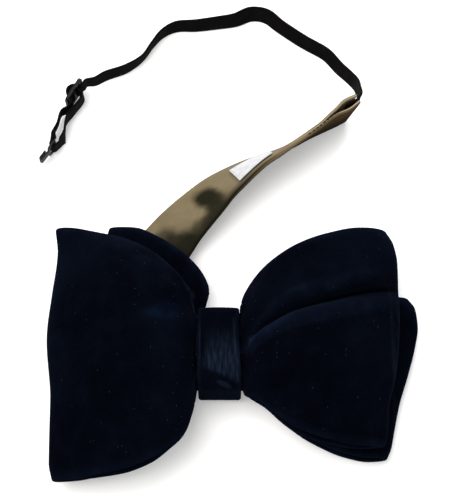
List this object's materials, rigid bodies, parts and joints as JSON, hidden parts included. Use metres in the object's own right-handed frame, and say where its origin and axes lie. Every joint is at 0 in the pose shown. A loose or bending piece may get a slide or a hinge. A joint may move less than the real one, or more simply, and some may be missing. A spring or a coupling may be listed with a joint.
{
  "type": "velvet bow tie",
  "caption": "Pre-tied navy velvet bow tie with layered wings, a wrapped knot, a satin neckband and an elastic strap with slider and hook, lying on its back.",
  "frame": {"origin": "middle of the knot's back face, on the surface that the bow tie lies on", "axes": "+X to the right of the bow as seen from its front, +Y towards its top edge, +Z out of its front"},
  "size_m": [0.1508, 0.2038, 0.0326],
  "materials": {
    "navy_velvet": "deep midnight navy velvet pile, dark from the front and lit along its rims and folds",
    "taupe_satin": "taupe satin with a soft sheen and dark stains",
    "white_label": "white woven label, left bare",
    "black_elastic": "black braided elastic",
    "black_metal": "black coated wire and plate"
  },
  "bodies": {
    "root": {"front_bow": "navy_velvet", "back_bow": "navy_velvet", "knot": "navy_velvet", "neckband": "taupe_satin", "care_label": "white_label", "elastic": "black_elastic", "slider": "black_metal", "hook": "black_metal", "catch_eye": "black_metal"}
  },
  "joints": []
}
